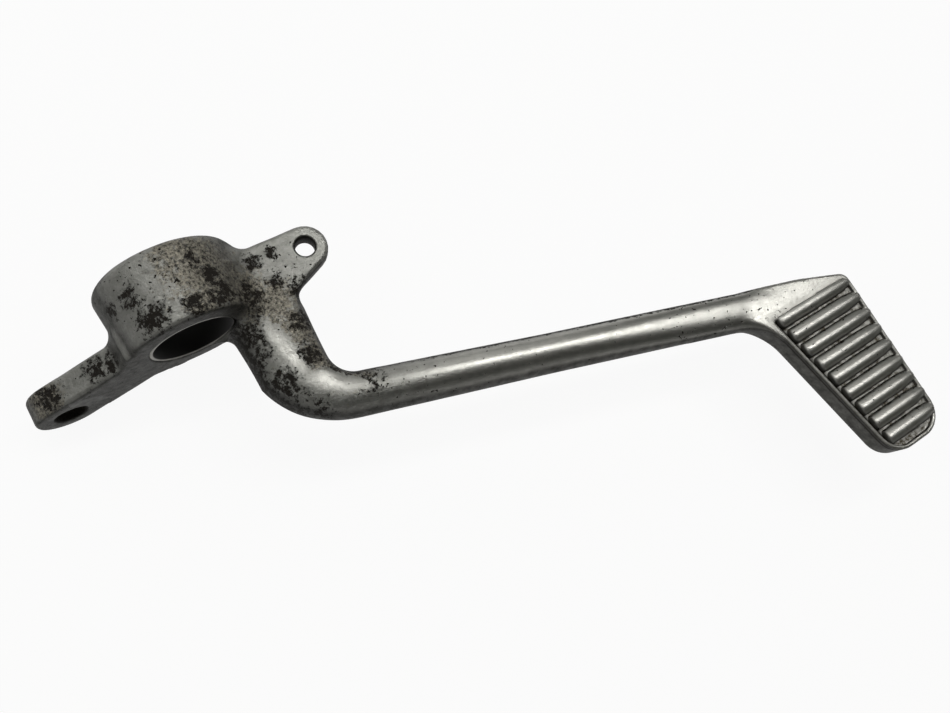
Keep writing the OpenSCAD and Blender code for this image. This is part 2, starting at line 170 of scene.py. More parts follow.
EAR_X, EAR_Y, EAR_TIP_R, EAR_TOP, EAR_T, EAR_EDGE_R = 33.3, -0.8, 5.8, 4.9, 5.0, 1.4
EAR_EDGE_ANGLE, EAR_FILLET_R, EAR_ROOT_X = math.radians(24.0), 7.0, 5.5

web_x = ELBOW[0] - ELBOW_INNER_R - WEB_W / 2
web_end_half_h = mix(WEB_TOP + WEB_ROOT_DEPTH, ARM_H, WEB_END_DEPTH_SHARE) / 2
web_root_y = EAR_Y + EAR_TIP_R - WEB_UNDER_EAR
arm_dir = np.array([math.cos(ARM_SPLAY), -math.sin(ARM_SPLAY)])
arm_side = np.array([math.sin(ARM_SPLAY), math.cos(ARM_SPLAY)])
arm_start = ELBOW - (ELBOW_INNER_R + ARM_W / 2) * arm_side
arm_end = arm_start + ARM_LEN * arm_dir


def oval(x, z, a, b, square):
    return (np.abs(x / a) ** square + np.abs(z / b) ** square) ** (1 / square) - 1


def sweep_level(p):
    """Less than nothing inside the web, elbow and arm, and no true distance."""
    x, y, z = p.T
    t = (web_root_y - y) / (web_root_y - ELBOW[1])
    drop = smooth(t)
    cap = np.sqrt(np.clip(1 - (1 - np.clip(t / WEB_ROOT_ROUNDING, 0, 1)) ** 2, 1e-3, 1))
    bottom = mix(-WEB_ROOT_DEPTH, WEB_TOP - 2 * web_end_half_h, drop)
    a = mix(WEB_W / 2 + WEB_ROOT_SPREAD, WEB_W / 2, drop) * cap
    middle, b = (WEB_TOP + bottom) / 2, (WEB_TOP - bottom) / 2 * cap
    centre = mix(web_x - WEB_ROOT_BACK, web_x, smooth(t / WEB_STRAIGHT_FROM))
    web = oval(x - centre - WEB_LEAN * (z - middle), z - middle, a, b, WEB_SQUARE)
    web = np.where((t < 0) | (y < ELBOW[1]) | (x > ELBOW[0]), NOT_HERE, web)

    turned_by = np.arctan2(ELBOW[1] - y, ELBOW[0] - x)
    t = turned_by / (math.pi / 2 - ARM_SPLAY)
    a = mix(WEB_W, ARM_W, 1 - np.clip(1 - t, 0, 1) ** ELBOW_NARROWING) / 2
    b = mix(web_end_half_h, ARM_H / 2, smooth(t))
    up = z - mix(WEB_TOP - web_end_half_h, 0, smooth(t))
    side = ELBOW_INNER_R + a - np.hypot(x - ELBOW[0], y - ELBOW[1])
    elbow = oval(side - mix(WEB_LEAN, 0, smooth(t)) * up, up, a, b, mix(WEB_SQUARE, 2, np.clip(t, 0, 1)))
    elbow = np.where((t < 0) | (t > 1), NOT_HERE, elbow)

    s = (p[:, :2] - arm_start) @ arm_dir
    flat = smooth((s - ARM_LEN + FLATTEN_LEN) / FLATTEN_LEN)
    a = mix(ARM_W, ARM_END_W, np.clip(s / (ARM_LEN - FLATTEN_LEN), 0, 1)) / 2
    b = mix(ARM_H / 2, PAD_TOP, flat) - ARM_SINK * smooth((s - ARM_LEN + ARM_SINK_FROM) / ARM_SINK_LEN)
    arm = oval((p[:, :2] - arm_start) @ arm_side, z, a, b, mix(2, ARM_END_SQUARE, flat))
    arm = np.where((s < 0) | (s > ARM_LEN + ARM_IN_PAD), NOT_HERE, arm)
    return np.minimum(np.minimum(web, elbow), arm)


def sweep_field(p):
    level = sweep_level(p)
    slope = np.stack([sweep_level(p + PROBE * axis) - level for axis in np.eye(3)], 1) / PROBE
    return level / np.clip(np.linalg.norm(slope, axis=1), SLOPE_LEAST, SLOPE_MOST)


# The ear's inboard edge runs straight, and its outboard edge slopes down to a hollow at the web.
ear_touch = np.array([EAR_X + EAR_TIP_R * math.sin(EAR_EDGE_ANGLE), EAR_Y - EAR_TIP_R * math.cos(EAR_EDGE_ANGLE)])
ear_inner_y = EAR_Y + EAR_TIP_R
web_edge_x = web_x + WEB_W / 2 + WEB_EAR_STEP
ear_far_x = ear_touch[0] + (ear_inner_y - ear_touch[1]) / math.tan(EAR_EDGE_ANGLE)
ear_root_y = ear_touch[1] + math.tan(EAR_EDGE_ANGLE) * (web_edge_x - ear_touch[0])
ear_foot_y = ear_root_y - 2 * EAR_FILLET_R
ear_outline = rounded_outline(
    [(EAR_ROOT_X, EAR_Y - EAR_TIP_R), (web_x, EAR_Y - EAR_TIP_R), (web_x, ear_foot_y),
     (web_x + WEB_W / 4, ear_foot_y), (web_edge_x, ear_root_y), (ear_far_x, ear_inner_y),
     (EAR_ROOT_X, ear_inner_y)],
    [0, 0, 0, 0, EAR_FILLET_R, EAR_TIP_R, 0])


def ear_field(p):
    middle = EAR_TOP - EAR_T / 2
    return plate(outline_distance(p[:, :2], ear_outline), p[:, 2] - middle, EAR_T / 2, EAR_EDGE_R)


# The pad is a plate that rises out of the arm, with a crowned shoulder and a sunk floor inside its rim.
PAD_LEN, PAD_ROOT_W, PAD_END_W, PAD_TURN, PAD_DROP = 48.6, 29.4, 19.6, math.radians(2.8), 4.8
PAD_RIM_R, PAD_UNDER_R, RIM_W, FLOOR_DEPTH, FLOOR_EDGE_R = 0.6, 1.5, 1.2, 1.2, 0.3
PAD_REAR_R, PAD_END_R, PAD_FRONT_R, PAD_ROOT_R, SHOULDER_R = 1.6, 7.5, 3.0, 15.0, 40.0
PAD_BACK, PAD_BACK_W, PAD_BACK_HALF_T, PAD_WIDE_SHARE = 34.0, 5.2, 2.0, 0.6
SHOULDER, SHOULDER_CROWN = 15.0, 0.014
PAD_RISE_FROM, PAD_RISE_LEN, EDGE_FROM, EDGE_LEN = 22.0, 24.0, 8.0, 12.0

pad_along = np.array([math.cos(PAD_TURN), math.sin(PAD_TURN)])
pad_across = np.array([-math.sin(PAD_TURN), math.cos(PAD_TURN)])
tread_rear_top = arm_end - PAD_DROP * pad_across
tread_front_top = tread_rear_top + PAD_ROOT_W * pad_along
tread_front_end = tread_front_top - PAD_LEN * pad_across
tread_rear_end = tread_front_end - PAD_END_W * pad_along
tread_corners = [tread_rear_top, tread_rear_end, tread_front_end, tread_front_top]
tread_radii = [PAD_REAR_R, PAD_END_R, PAD_END_R, PAD_FRONT_R]
tread_outline = rounded_outline(tread_corners, tread_radii, steps=14)

rear_dir = (tread_rear_end - tread_rear_top) / np.linalg.norm(tread_rear_end - tread_rear_top)
pad_edge = ARM_END_W / 2 * arm_side
offset = arm_end - pad_edge - tread_rear_top
rear_t = ((offset[0] * arm_dir[1] - offset[1] * arm_dir[0])
          / (rear_dir[0] * arm_dir[1] - rear_dir[1] * arm_dir[0]))
back_end, back_edge = arm_end - PAD_BACK * arm_dir, arm_end - PAD_WIDE_SHARE * PAD_BACK * arm_dir
pad_outline = rounded_outline(
    [back_end - PAD_BACK_W / 2 * arm_side, back_edge - pad_edge, tread_rear_top + rear_t * rear_dir,
     tread_rear_end, tread_front_end, tread_front_top, arm_end + SHOULDER * arm_dir + pad_edge,
     back_edge + pad_edge, back_end + PAD_BACK_W / 2 * arm_side],
    [0, 0, PAD_ROOT_R, PAD_END_R, PAD_END_R, PAD_FRONT_R, SHOULDER_R, 0, 0], steps=14)


def pad_field(p):
    flat = outline_distance(p[:, :2], pad_outline)
    s = (p[:, :2] - arm_start) @ arm_dir - ARM_LEN
    half_t = mix(PAD_BACK_HALF_T, PAD_TOP, smooth((s + PAD_RISE_FROM) / PAD_RISE_LEN))
    rim_r = np.where(p[:, 2] > 0, PAD_RIM_R, PAD_UNDER_R)
    edge_r = mix(half_t - 0.02, rim_r, smooth((s + EDGE_FROM) / EDGE_LEN))
    past_tread = np.maximum((p[:, :2] - tread_rear_top) @ pad_across, 0)
    crowned = p[:, 2] + np.where(p[:, 2] > 0, SHOULDER_CROWN * past_tread ** 2, 0)
    return np.where(s < -PAD_BACK + 1, NOT_HERE, plate(flat, crowned, half_t, edge_r))


# Sand leaves a slow unevenness on the skin, and boots have worn it down towards the pad.
LEVER_FILLET_R, EAR_WEB_FILLET_R, BOSS_WEB_FILLET_R, ARM_PAD_FILLET_R = 3.0, 1.2, 4.2, 0.5
SKIN_WAVE_LEN, SKIN_WAVE, SKIN_BELOW, WORN_FROM, WORN_LEN, WORN_LEAST = 9.0, 0.07, 0.02, 30.0, 30.0, 0.25
WAVE_COUNT, WAVE_SEED = 6, 1


def waves(p):
    """Slow unevenness of a sand-cast skin, between -1 and 1."""
    rng = np.random.default_rng(WAVE_SEED)
    total = np.zeros(len(p))
    for _ in range(WAVE_COUNT):
        direction = rng.normal(size=3)
        direction *= 2 * math.pi / (SKIN_WAVE_LEN * rng.uniform(0.7, 1.5)) / np.linalg.norm(direction)
        total += np.sin(p @ direction + rng.uniform(0, 2 * math.pi))
    return total / WAVE_COUNT


def casting_field(p):
    body = fillet(boss_field(p), lever_field(p), LEVER_FILLET_R)
    body = np.maximum(body, outer_y - p[:, 1])
    sweep_and_ear = fillet(sweep_field(p), ear_field(p), EAR_WEB_FILLET_R)
    body = fillet(body, sweep_and_ear, BOSS_WEB_FILLET_R)
    body = fillet(body, pad_field(p), ARM_PAD_FILLET_R)
    pocket = np.maximum(outline_distance(p[:, :2], tread_outline) + RIM_W, PAD_TOP - FLOOR_DEPTH - p[:, 2])
    u, v = np.maximum(FLOOR_EDGE_R + body, 0), np.maximum(FLOOR_EDGE_R - pocket, 0)
    body = np.minimum(-FLOOR_EDGE_R, np.maximum(body, -pocket)) + np.hypot(u, v)
    uneven = np.clip(1 - (p[:, 0] - WORN_FROM) / WORN_LEN, WORN_LEAST, 1)
    return body + uneven * SKIN_WAVE * (waves(p) + 1) + SKIN_BELOW


GRID_STEP = 0.46
GRID_MARGIN, COARSE, POINTS_AT_ONCE = 1.5, 3, 400000
MOVES, MOVE_MOST, DRAW_PROBE, STEEP_LEAST = 3, 0.4, 0.02, 0.3


def cells_round(edges, axis):
    """The four grid cells that meet at each edge along an axis, in turn round it."""
    first, second = [(1, 2), (2, 0), (0, 1)][axis]
    for back_first, back_second in ((1, 1), (0, 1), (0, 0), (1, 0)):
        cell = edges.copy()
        cell[:, first] -= back_first
        cell[:, second] -= back_second
        yield cell


def polygonised(field, low, high, step):
    """Quads over the zero surface of a field, with one corner in each grid cell that it passes."""
    counts = np.ceil((high - low) / step).astype(int) + 1
    lines = [low[i] + step * np.arange(0, counts[i], COARSE) for i in range(3)]
    sample = np.stack(np.meshgrid(*lines, indexing="ij"), -1)
    near = (np.abs(field(sample.reshape(-1, 3))) < step * COARSE * 1.5).reshape(sample.shape[:3])
    for axis in range(3):
        near = near.repeat(COARSE, axis)
    wide = near.copy()
    for axis in range(3):
        wide |= np.roll(near, -(COARSE // 2 + 1), axis)
    near = wide[:counts[0], :counts[1], :counts[2]]
    index = np.argwhere(near)
    parts = np.array_split(index, max(1, len(index) // POINTS_AT_ONCE))
    value = np.full(counts, 1e3)
    value[tuple(index.T)] = np.concatenate([field(low + step * part) for part in parts])

    corner_sum, crossings = np.zeros((*(counts - 1), 3)), np.zeros(counts - 1)
    crossed = []
    for axis in range(3):
        before, after = [slice(None)] * 3, [slice(None)] * 3
        before[axis], after[axis] = slice(0, -1), slice(1, None)
        before, after = tuple(before), tuple(after)
        cross = ((value[before] < 0) != (value[after] < 0)) & near[before] & near[after]
        crossed.append(cross)
        edges = np.argwhere(cross)
        point = edges.astype(float)
        point[:, axis] += value[before][cross] / (value[before][cross] - value[after][cross])
        for cell in cells_round(edges, axis):
            in_grid = ((cell >= 0) & (cell < counts - 1)).all(1)
            np.add.at(corner_sum, tuple(cell[in_grid].T), point[in_grid])
            np.add.at(crossings, tuple(cell[in_grid].T), 1)
    used = crossings > 0
    number = np.full(crossings.shape, -1)
    number[used] = np.arange(used.sum())
    corners = low + step * corner_sum[used] / crossings[used][:, None]
    quads = []
    for axis, cross in enumerate(crossed):
        edges = np.argwhere(cross)
        ring = np.stack([number[tuple(cell.T)] for cell in cells_round(edges, axis)], 1)
        inward = value[tuple(edges.T)] >= 0
        ring[inward] = ring[inward][:, ::-1]
        quads.append(ring)

    # A few short moves down the field's slope draw every corner onto the surface.
    for _ in range(MOVES):
        level = field(corners)
        slope = np.stack([field(corners + DRAW_PROBE * axis) - level for axis in np.eye(3)], 1) / DRAW_PROBE
        move = -level[:, None] * slope / np.maximum((slope * slope).sum(1), STEEP_LEAST)[:, None]
        length = np.maximum(np.linalg.norm(move, axis=1), 1e-9)
        corners += move * np.minimum(1, MOVE_MOST * step / length)[:, None]
    return corners, np.concatenate(quads)


def new_mesh_object(name, corners, faces):
    """A smooth mesh from corners in millimetres."""
    mesh = bpy.data.meshes.new(name)
    mesh.from_pydata((np.asarray(corners) * MM).tolist(), [], [list(map(int, f)) for f in faces])
    mesh.validate()
    mesh.shade_smooth()
    thing = bpy.data.objects.new(name, mesh)
    bpy.context.scene.collection.objects.link(thing)
    return thing


grid_low = np.array(cad_box[0]) / MM - GRID_MARGIN
grid_high = np.array(cad_box[1]) / MM + GRID_MARGIN
casting = new_mesh_object("pedal_casting_cast", *polygonised(casting_field, grid_low, grid_high, GRID_STEP))

# Pedal casting, machined holes
# The pivot bore, the spot-faced clevis hole and the countersunk ear hole are cut after casting.
# Each cutter is a turned profile of (radius, height) pairs about the hole's axis.

BUSH_R = 11.0
CLEVIS_R, SPOT_FACE_R, SPOT_FACE_DEPTH = 4.05, 9.7, 0.4
EAR_CORE_R, EAR_SINK = 2.5, 0.5
CHAMFER, PAST = 0.35, 2.0
BORE_SIDES, CLEVIS_SIDES, EAR_SIDES = 128, 96, 64


def turned(name, profile, sides, place=Matrix.Identity(4), tube=False):
    """A profile turned about an axis, closed by two end faces, or as a tube from its last ring to its first."""
    rings = [[(r * math.cos(2 * math.pi * k / sides), r * math.sin(2 * math.pi * k / sides), h)
              for k in range(sides)] for r, h in profile]
    corners = [place @ Vector(corner) for ring in rings for corner in ring]
    count = len(rings)
    steps = [(j, (j + 1) % count) for j in range(count if tube else count - 1)]
    faces = [(j * sides + i, j * sides + (i + 1) % sides, k * sides + (i + 1) % sides, k * sides + i)
             for j, k in steps for i in range(sides)]
    if not tube:
        faces += [tuple(range(sides))[::-1], tuple((count - 1) * sides + i for i in range(sides))]
    return new_mesh_object(name, corners, faces)


def joined(body, other, operation):
    step = body.modifiers.new("fit", "BOOLEAN")
    step.operation, step.solver, step.object = operation, "MANIFOLD", other
    bpy.context.view_layer.update()
    result = bpy.data.meshes.new_from_object(body.evaluated_get(bpy.context.evaluated_depsgraph_get()))
    body.modifiers.clear()
    old, body.data = body.data, result
    bpy.data.meshes.remove(old)
    bpy.data.objects.remove(other)


along_y = Matrix.Rotation(math.radians(-90), 4, "X")
bore_cut = [(BUSH_R + CHAMFER, outer_y - PAST), (BUSH_R + CHAMFER, outer_y), (BUSH_R, outer_y + CHAMFER),
            (BUSH_R, -outer_y - CHAMFER), (BUSH_R + CHAMFER, -outer_y), (BUSH_R + CHAMFER, -outer_y + PAST)]
joined(casting, turned("bore_cutter", bore_cut, BORE_SIDES, along_y), "DIFFERENCE")

clevis_at = Vector((LEVER_LEN * math.cos(lever_turn), 0, -LEVER_LEN * math.sin(lever_turn)))
spot_face, inner_face = outer_y + SPOT_FACE_DEPTH, outer_y + LEVER_T
clevis_cut = [(SPOT_FACE_R, outer_y - PAST), (SPOT_FACE_R, spot_face), (CLEVIS_R + CHAMFER, spot_face),
              (CLEVIS_R, spot_face + CHAMFER), (CLEVIS_R, inner_face - CHAMFER),
              (CLEVIS_R + CHAMFER + PAST, inner_face + PAST)]
clevis_cutter = turned("clevis_cutter", clevis_cut, CLEVIS_SIDES, Matrix.Translation(clevis_at) @ along_y)
joined(casting, clevis_cutter, "DIFFERENCE")

ear_low, ear_flare = EAR_TOP - EAR_T, EAR_CORE_R + EAR_SINK
ear_cut = [(ear_flare + PAST, ear_low - PAST), (EAR_CORE_R, ear_low + EAR_SINK),
           (EAR_CORE_R, EAR_TOP - EAR_SINK), (ear_flare + PAST, EAR_TOP + PAST)]
ear_cutter = turned("ear_cutter", ear_cut, EAR_SIDES, Matrix.Translation((EAR_X, EAR_Y, 0)))
joined(casting, ear_cutter, "DIFFERENCE")

# Pedal casting, tread ribs
# Nine half-round ribs cast across the foot pad, steep at the rear rim and fading out at the front.
# One rib's shape is repeated down the tread and shortened as the tread narrows.

RIB_COUNT, RIB_PITCH, RIB_FIRST, RIB_R, RIB_GAP, RIB_SINK = 9, 5.16, 2.0, 2.3, 0.5, 0.3
RIB_FADE, RIB_HEAD_SHARE, RIB_HEAD_FROM, RIB_TAIL_NARROWING, RIB_SIDES = 9.0, 0.62, 0.12, 0.3, 48
TREAD_INSET, TREAD_LOWEST = 0.75, 0.5
rib_len = PAD_ROOT_W - RIM_W - RIB_GAP
rib_taper = (PAD_ROOT_W - PAD_END_W) / PAD_LEN
head = [(RIB_R * math.sin(a), RIB_HEAD_SHARE * RIB_R * (1 - math.cos(a)) - rib_len)
        for a in np.linspace(RIB_HEAD_FROM, math.pi / 2, 8)]
tail = [(RIB_R * (1 - RIB_TAIL_NARROWING * t * t), -RIB_FADE * (1 - t)) for t in np.linspace(0, 1, 10)]
rib = turned("rib_shape", head + tail, RIB_SIDES, Matrix.Rotation(math.radians(90), 4, "Y"))


def new_material(name):
    material = bpy.data.materials.new(name)
    material.use_nodes = True
    material.node_tree.nodes.clear()
    return material


def add(tree, kind, sockets=None, out=0, **settings):
    """Adds a node with its settings, gives named sockets a value or a link, and returns one of its outputs."""
    node = tree.nodes.new(kind)
    for name, value in settings.items():
        setattr(node, name, value)
    for socket, value in (sockets or {}).items():
        if isinstance(value, bpy.types.NodeSocket):
            tree.links.new(value, node.inputs[socket])
        else:
            node.inputs[socket].default_value = value
    return node.outputs[out] if len(node.outputs) else node


cast_metal = new_material("cast_aluminium_worn")
rows = bpy.data.node_groups.new("tread_ribs", "GeometryNodeTree")
rib_inputs = {"Count": ("NodeSocketInt", RIB_COUNT), "Pitch": ("NodeSocketFloat", RIB_PITCH * MM),
              "Shortening": ("NodeSocketFloat", rib_taper * RIB_PITCH / rib_len),
              "First": ("NodeSocketFloat", RIB_FIRST * rib_taper / rib_len),
              "Rib": ("NodeSocketObject", rib), "Material": ("NodeSocketMaterial", cast_metal)}
rows.interface.new_socket("Geometry", in_out="INPUT", socket_type="NodeSocketGeometry")
socket_of = {name: rows.interface.new_socket(name, in_out="INPUT", socket_type=kind).identifier
             for name, (kind, _) in rib_inputs.items()}
rows.interface.new_socket("Geometry", in_out="OUTPUT", socket_type="NodeSocketGeometry")
given = rows.nodes.new("NodeGroupInput").outputs
down = add(rows, "ShaderNodeMath", {0: given["Pitch"], 1: -1.0}, operation="MULTIPLY")
line = add(rows, "GeometryNodeMeshLine", {
    "Count": given["Count"], "Offset": add(rows, "ShaderNodeCombineXYZ", {"Y": down})}, mode="OFFSET")
shorter = add(rows, "ShaderNodeMath", {
    0: add(rows, "GeometryNodeInputIndex"), 1: given["Shortening"], 2: given["First"]}, operation="MULTIPLY_ADD")
length = add(rows, "ShaderNodeMath", {0: 1.0, 1: shorter}, operation="SUBTRACT")
placed = add(rows, "GeometryNodeInstanceOnPoints", {
    "Points": line, "Instance": add(rows, "GeometryNodeObjectInfo", {"Object": given["Rib"]}, out="Geometry"),
    "Scale": add(rows, "ShaderNodeCombineXYZ", {"X": length, "Y": 1.0, "Z": 1.0})})
real_ribs = add(rows, "GeometryNodeRealizeInstances", {"Geometry": placed})
metal_ribs = add(rows, "GeometryNodeSetMaterial", {"Geometry": real_ribs, "Material": given["Material"]})
rows.links.new(metal_ribs, rows.nodes.new("NodeGroupOutput").inputs[0])

ribs = new_mesh_object("tread_ribs", [(0, 0, 0)], [])
grown = ribs.modifiers.new("ribs", "NODES")
grown.node_group = rows
for name, (_, value) in rib_inputs.items():
    grown[socket_of[name]] = value
bpy.context.view_layer.update()
ribs_mesh = bpy.data.meshes.new_from_object(ribs.evaluated_get(bpy.context.evaluated_depsgraph_get()))
ribs.modifiers.clear()
ribs.data = ribs_mesh
first_rib = Vector((*(tread_front_top - RIB_FIRST * pad_across), PAD_TOP - FLOOR_DEPTH - RIB_SINK)) * MM
ribs_mesh.transform(Matrix.Translation(first_rib) @ Matrix.Rotation(PAD_TURN, 4, "Z"))
bpy.data.objects.remove(rib)

# The ribs end inside the rim, so a block with the tread's outline cuts off what passes it.
tread_limit = rounded_outline(tread_corners, tread_radii)
inward = tread_limit.mean(0) - tread_limit
tread_limit = tread_limit + TREAD_INSET * inward / np.linalg.norm(inward, axis=1)[:, None]
n = len(tread_limit)
limit_corners = [(x, y, z) for z in (TREAD_LOWEST, PAD_TOP + RIB_R) for x, y in tread_limit]
limit_faces = [(i, (i + 1) % n, n + (i + 1) % n, n + i) for i in range(n)]
limit_faces += [tuple(range(n))[::-1], tuple(range(n, 2 * n))]
joined(ribs, new_mesh_object("tread_limit", limit_corners, limit_faces), "INTERSECT")
joined(casting, ribs, "UNION")
casting.data.shade_smooth()

# Pedal casting, metal
# Sand-cast aluminium, polished by boots on the arm and pad, and left dull, stained and pitted round the pivot.
# Cast aluminium gives the eye a soft grey mirror; grease and road dirt sit in its pores and hollows.
# Flanks, undersides and the gaps behind the rib heads carry painted shade.


def linear(hex_colour):
    parts = [int(hex_colour[i:i + 2], 16) / 255 for i in (1, 3, 5)]
    return [c / 12.92 if c <= 0.04045 else ((c + 0.055) / 1.055) ** 2.4 for c in parts] + [1.0]


def spot(tree, place, centre, radius):
    """1 at a point of the casting, falling to 0 at the radius, both in millimetres."""
    gap = add(tree, "ShaderNodeVectorMath", {
        0: place, 1: [c * MM for c in centre]}, out="Value", operation="DISTANCE")
    return add(tree, "ShaderNodeMapRange", {
        "Value": gap, "From Min": 0.15 * radius * MM, "From Max": radius * MM, "To Min": 1.0, "To Max": 0.0},
        interpolation_type="SMOOTHSTEP")


def most(tree, values):
    """The largest of several values."""
    top = values[0]
    for value in values[1:]:
        top = add(tree, "ShaderNodeMath", {0: top, 1: value}, operation="MAXIMUM")
    return top


tree = cast_metal.node_tree
coordinates = add(tree, "ShaderNodeTexCoord").node.outputs
place, normal = coordinates["Object"], coordinates["Normal"]
place_x, place_y, place_z = add(tree, "ShaderNodeSeparateXYZ", {0: place}).node.outputs
facing = add(tree, "ShaderNodeSeparateXYZ", {0: normal}, out="Z")

# Boots have handled the arm and pad bright, from the elbow on.
HANDLED_FROM, HANDLED_TO = 26, 60
handled = add(tree, "ShaderNodeMapRange", {
    "Value": place_x, "From Min": HANDLED_FROM * MM, "From Max": HANDLED_TO * MM},
    interpolation_type="SMOOTHSTEP")
# The crest of the web and of the elbow is rubbed bright in two streaks: middle, angle, and half sizes in mm.
RUBBED = [((17.6, -22.0, 5.5), -78, (11, 2.6, 5)), ((25.5, -35.0, 5.5), -30, (11, 3.4, 5))]
streaks = []
for middle, angle, half_size in RUBBED:
    in_streak = add(tree, "ShaderNodeMapping", {
        "Vector": place, "Location": [c * MM for c in middle], "Rotation": (0.0, 0.0, math.radians(angle)),
        "Scale": [c * MM for c in half_size]}, vector_type="TEXTURE")
    streaks.append(add(tree, "ShaderNodeMapRange", {
        "Value": add(tree, "ShaderNodeVectorMath", {0: in_streak}, out="Value", operation="LENGTH"),
        "From Min": 0.2, "From Max": 1.0, "To Min": 0.8, "To Max": 0.0}, interpolation_type="SMOOTHSTEP"))
rubbed = most(tree, streaks)
polished = most(tree, [handled, rubbed])

# Soft clouds and fine mottling of the cast skin, 2 to 3 mm across.
MOTTLE_SIZE = 2.4
mottle = add(tree, "ShaderNodeTexNoise", {
    "Vector": place, "Scale": 1 / (MOTTLE_SIZE * MM), "Detail": 6.0, "Roughness": 0.66})
bright = add(tree, "ShaderNodeMix", {
    "Factor": mottle, 6: linear("#9c9b95"), 7: linear("#c8c7c0")}, out=2, data_type="RGBA")
dull = add(tree, "ShaderNodeMix", {
    "Factor": mottle, 6: linear("#64645e"), 7: linear("#adada7")}, out=2, data_type="RGBA")
clean = add(tree, "ShaderNodeMix", {"Factor": polished, 6: dull, 7: bright}, out=2, data_type="RGBA")

# A gritty brown film, broken by silver patches about 1 mm across, on the boss and the top of the web.
# Each spot is its centre and its radius in mm.
FILMED = [((5, 6, 15), 12), ((9, 0, 13), 17), ((5, -7, 15), 7), ((14, -6, 9), 13), ((20, -11, 5), 10),
          ((23, -19, 4), 9), ((25, -27, 4), 9), ((29, -35, 3), 9), ((-37, -6, -10), 9), ((148, -57, 4), 15)]
FILM_GRAIN_SIZE, GRIT_SIZE = 1.5, 0.7
filmed = most(tree, [spot(tree, place, centre, radius) for centre, radius in FILMED])
film_grain = add(tree, "ShaderNodeTexNoise", {
    "Vector": place, "Scale": 1 / (FILM_GRAIN_SIZE * MM), "Detail": 7.0, "Roughness": 0.78})
film_level = add(tree, "ShaderNodeMath", {0: filmed, 1: 0.30, 2: film_grain}, operation="MULTIPLY_ADD")
film_level = add(tree, "ShaderNodeMath", {0: rubbed, 1: -0.30, 2: film_level}, operation="MULTIPLY_ADD")
film_level = add(tree, "ShaderNodeMath", {0: polished, 1: -0.14, 2: film_level}, operation="MULTIPLY_ADD")
film = add(tree, "ShaderNodeMapRange", {
    "Value": film_level, "From Min": 0.58, "From Max": 0.74, "To Max": 0.9}, interpolation_type="SMOOTHSTEP")
grit = add(tree, "ShaderNodeTexNoise", {
    "Vector": place, "Scale": 1 / (GRIT_SIZE * MM), "Detail": 3.0, "Roughness": 0.7})
grit_tone = add(tree, "ShaderNodeMapRange", {"Value": grit, "From Min": 0.38, "From Max": 0.66})
film_colour = add(tree, "ShaderNodeMix", {
    "Factor": grit_tone, 6: linear("#1f1c16"), 7: linear("#9c9686")}, out=2, data_type="RGBA")
metal = add(tree, "ShaderNodeMix", {"Factor": film, 6: clean, 7: film_colour}, out=2, data_type="RGBA")

# Surfaces that face sideways or down are painted darker by the way they face: painted shade, standing in for the
# dark room the metal reflects there.
painted_flank_shade = add(tree, "ShaderNodeMapRange", {
    "Value": facing, "From Min": 0.42, "From Max": 0.88, "To Min": 0.94, "To Max": 0.0},
    interpolation_type="SMOOTHSTEP")
painted_shade_grain = add(tree, "ShaderNodeMapRange", {
    "Value": mottle, "From Min": 0.3, "From Max": 0.7, "To Min": 1.0, "To Max": 0.82})
painted_flank_shade = add(tree, "ShaderNodeMath", {0: painted_flank_shade, 1: painted_shade_grain}, operation="MULTIPLY")

# Black-brown crust of burnt oil and road dirt in patches, with ragged edges down to half a millimetre.
CRUSTED = [((-7, -6, 15), 8), ((-9, 1, 14), 5), ((-14, 1, 10), 4), ((10, -6, 13), 7), ((9, -1, 14), 5),
           ((7, 4, 14), 5), ((3, -7, 16), 5), ((16, -8, 8), 7), ((20, 1, 5), 4),
           ((25, 1, 5), 3), ((23, -6, 5), 4), ((27, -10, 3), 6), ((22, -26, 5), 6), ((29, -32, 4), 8),
           ((24, -18, 4), 6), ((10, -17, 0), 14), ((9, -24, -2), 14), ((12, -33, -3), 15), ((14, -30, 4), 8),
           ((20, -38, 2), 6), ((32, -38, 4), 6), ((-23, -6, -3), 6), ((-19, -7, 0), 5), ((-36, -5, -9), 7)]
CRUST_GRAIN_SIZE = 1.6
crusted = most(tree, [spot(tree, place, centre, radius) for centre, radius in CRUSTED])
crust_grain = add(tree, "ShaderNodeTexNoise", {
    "Vector": place, "Scale": 1 / (CRUST_GRAIN_SIZE * MM), "Detail": 7.0, "Roughness": 0.8, "Distortion": 0.2})
crust_level = add(tree, "ShaderNodeMath", {0: crusted, 1: 0.19, 2: crust_grain}, operation="MULTIPLY_ADD")
crust_level = add(tree, "ShaderNodeMath", {0: polished, 1: -0.05, 2: crust_level}, operation="MULTIPLY_ADD")
crust_level = add(tree, "ShaderNodeMath", {0: rubbed, 1: -0.12, 2: crust_level}, operation="MULTIPLY_ADD")
# The rough seam that the two halves of the mould left along the rear of the arm holds dirt as well.
SEAM_Z, SEAM_CORE, SEAM_EDGE = 2.5, 0.9, 2.0
seam = add(tree, "ShaderNodeVectorMath", {
    0: normal, 1: (arm_side[0], arm_side[1], 0.0)}, out="Value", operation="DOT_PRODUCT")
seam = add(tree, "ShaderNodeMapRange", {"Value": seam, "From Min": 0.5, "From Max": 0.75})
seam = add(tree, "ShaderNodeMath", {0: seam, 1: handled}, operation="MULTIPLY")
from_split = add(tree, "ShaderNodeMath", {0: place_z, 1: SEAM_Z * MM}, operation="SUBTRACT")
from_split = add(tree, "ShaderNodeMath", {0: from_split}, operation="ABSOLUTE")
by_split = add(tree, "ShaderNodeMapRange", {
    "Value": from_split, "From Min": SEAM_CORE * MM, "From Max": SEAM_EDGE * MM, "To Min": 0.22, "To Max": 0.0})
crust_level = add(tree, "ShaderNodeMath", {0: seam, 1: by_split, 2: crust_level}, operation="MULTIPLY_ADD")
crust = add(tree, "ShaderNodeMapRange", {
    "Value": crust_level, "From Min": 0.62, "From Max": 0.68}, interpolation_type="SMOOTHSTEP")

